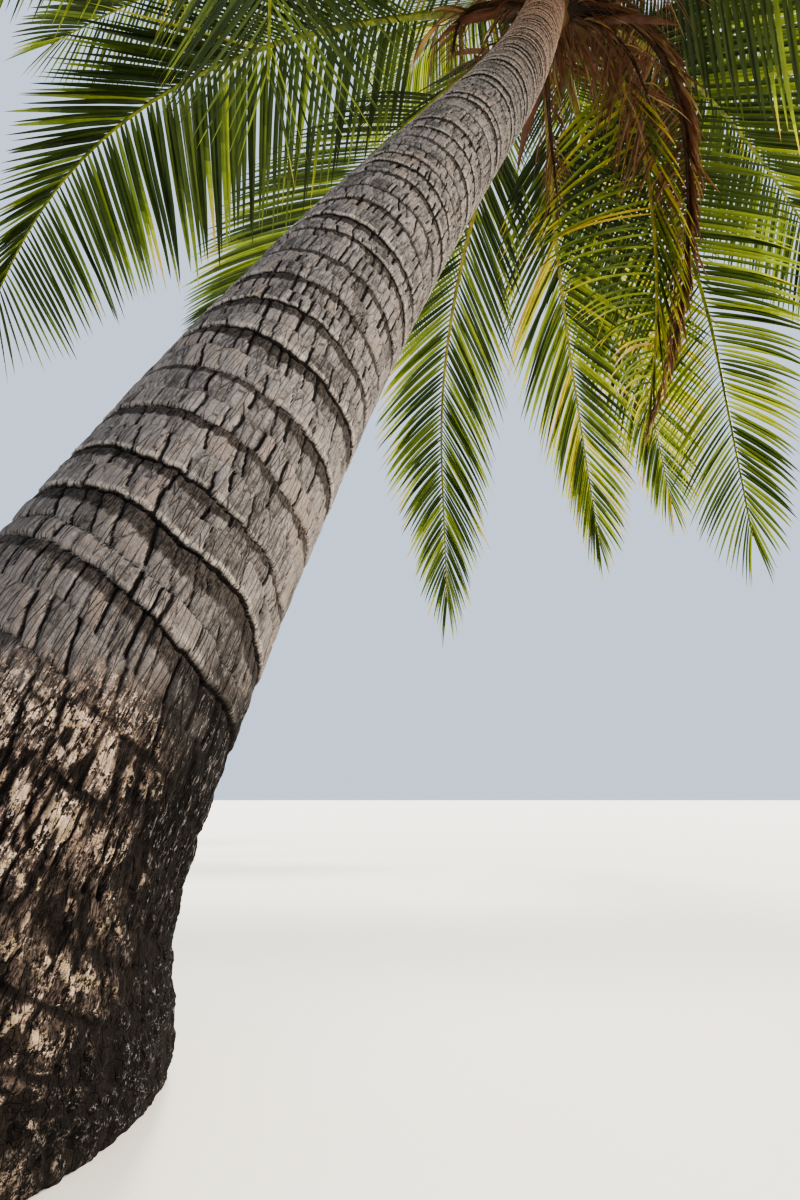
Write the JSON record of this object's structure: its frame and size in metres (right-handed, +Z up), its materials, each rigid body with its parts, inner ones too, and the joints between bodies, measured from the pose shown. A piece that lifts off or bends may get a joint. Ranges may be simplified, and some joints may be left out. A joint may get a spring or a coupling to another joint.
{
  "type": "coconut palm tree",
  "caption": "Leaning coconut palm with a ringed, flared trunk and a full crown of arching feather fronds.",
  "frame": {"origin": "middle of the flat cut under the trunk, at ground level", "axes": "+Z up; the trunk leans towards +X and +Y; the picture looks along +Y"},
  "size_m": [7.2752, 7.3729, 7.2526],
  "materials": {
    "trunk_bark": "rough ringed bark, matte",
    "crown_fibre": "fibrous leaf bases, matte",
    "frond_stalk": "smooth green stalk, satin",
    "leaflets_green": "leathery leaflets, satin",
    "leaflets_yellow": "yellowing leaflets, satin",
    "leaflets_old": "olive, browning leaflets, matte",
    "leaflets_dead": "dry curled leaflets, matte",
    "spear_leaf": "furled young leaf, satin"
  },
  "bodies": {
    "root": {"crown_heart": "crown_fibre", "frond_dead_inner": "leaflets_dead", "frond_dead_outer": "leaflets_dead", "frond_east_inner": "frond_stalk", "frond_east_outer": "leaflets_green", "frond_high_east_inner": "frond_stalk", "frond_high_east_outer": "leaflets_green", "frond_high_west_inner": "frond_stalk", "frond_high_west_outer": "leaflets_green", "frond_near_1_inner": "frond_stalk", "frond_near_1_outer": "leaflets_green", "frond_near_2_inner": "frond_stalk", "frond_near_2_outer": "leaflets_green", "frond_near_3_inner": "frond_stalk", "frond_near_3_outer": "leaflets_green", "frond_near_4_inner": "frond_stalk", "frond_near_4_outer": "leaflets_green", "frond_near_5_inner": "frond_stalk", "frond_near_5_outer": "leaflets_green", "frond_near_6_inner": "frond_stalk", "frond_near_6_outer": "leaflets_green", "frond_near_7_inner": "frond_stalk", "frond_near_7_outer": "leaflets_green", "frond_near_8_inner": "frond_stalk", "frond_near_8_outer": "leaflets_green", "frond_north_inner": "frond_stalk", "frond_north_outer": "leaflets_green", "frond_northeast_inner": "frond_stalk", "frond_northeast_outer": "leaflets_green", "frond_northwest_inner": "frond_stalk", "frond_northwest_outer": "leaflets_green", "frond_old_inner": "leaflets_old", "frond_old_outer": "leaflets_old", "frond_over_inner": "frond_stalk", "frond_over_outer": "leaflets_green", "frond_upper_1_inner": "frond_stalk", "frond_upper_1_outer": "leaflets_green", "frond_upper_2_inner": "frond_stalk", "frond_upper_2_outer": "leaflets_green", "frond_upper_3_inner": "frond_stalk", "frond_upper_3_outer": "leaflets_green", "frond_upper_4_inner": "frond_stalk", "frond_upper_4_outer": "leaflets_green", "frond_upper_5_inner": "frond_stalk", "frond_upper_5_outer": "leaflets_green", "frond_upper_6_inner": "frond_stalk", "frond_upper_6_outer": "leaflets_green", "frond_west_inner": "frond_stalk", "frond_west_outer": "leaflets_green", "frond_yellow_north_inner": "leaflets_yellow", "frond_yellow_north_outer": "leaflets_yellow", "frond_yellow_tip_inner": "leaflets_yellow", "frond_yellow_tip_outer": "leaflets_yellow", "frond_young_1": "leaflets_green", "frond_young_2": "leaflets_green", "frond_young_3": "leaflets_green", "frond_young_4": "leaflets_green", "spear_leaf": "spear_leaf", "trunk": "trunk_bark"}
  },
  "joints": []
}
